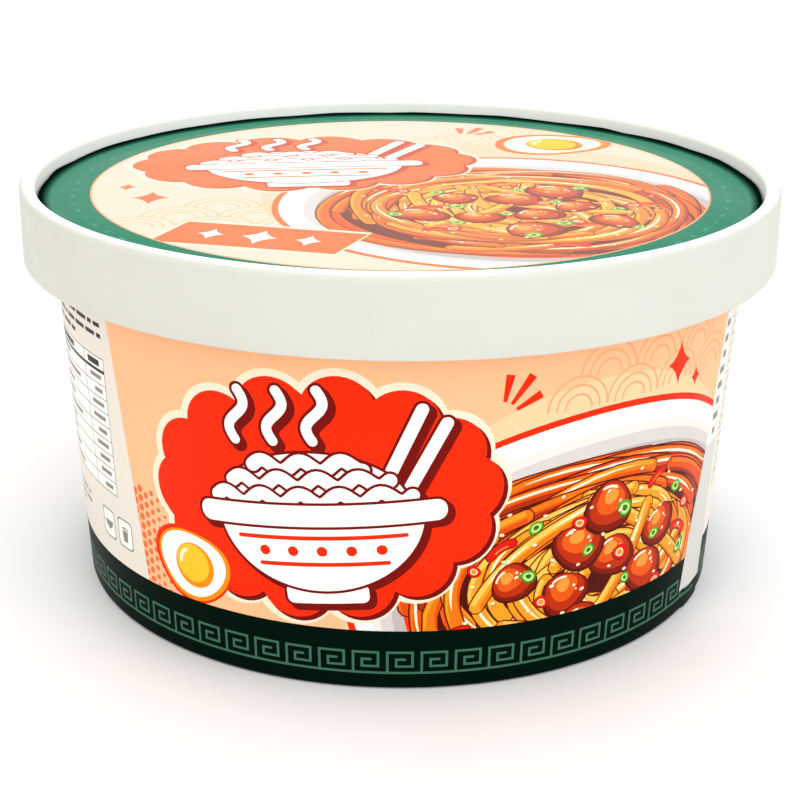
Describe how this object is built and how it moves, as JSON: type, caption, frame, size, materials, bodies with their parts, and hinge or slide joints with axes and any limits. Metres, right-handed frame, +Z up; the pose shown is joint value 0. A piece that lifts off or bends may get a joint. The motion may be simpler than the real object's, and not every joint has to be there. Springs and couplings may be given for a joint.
{
  "type": "instant noodle cup",
  "caption": "Wide round instant noodle cup of printed paper, shut, with a tapered wall, a foot ring under the base and a paper lid with a plain skirt and a printed disc.",
  "frame": {"origin": "middle of the base, on the surface that the foot ring stands on", "axes": "+Z up along the axis of the bowl, -Y towards the front of the print, +X to the right of the front"},
  "size_m": [0.155, 0.155, 0.0842],
  "materials": {
    "printed_wall": "satin varnished print",
    "white_paper": "matte",
    "printed_lid": "satin varnished print"
  },
  "bodies": {
    "root": {"bowl": "printed_wall", "lid_ring": "white_paper", "lid_disc": "printed_lid"}
  },
  "joints": []
}
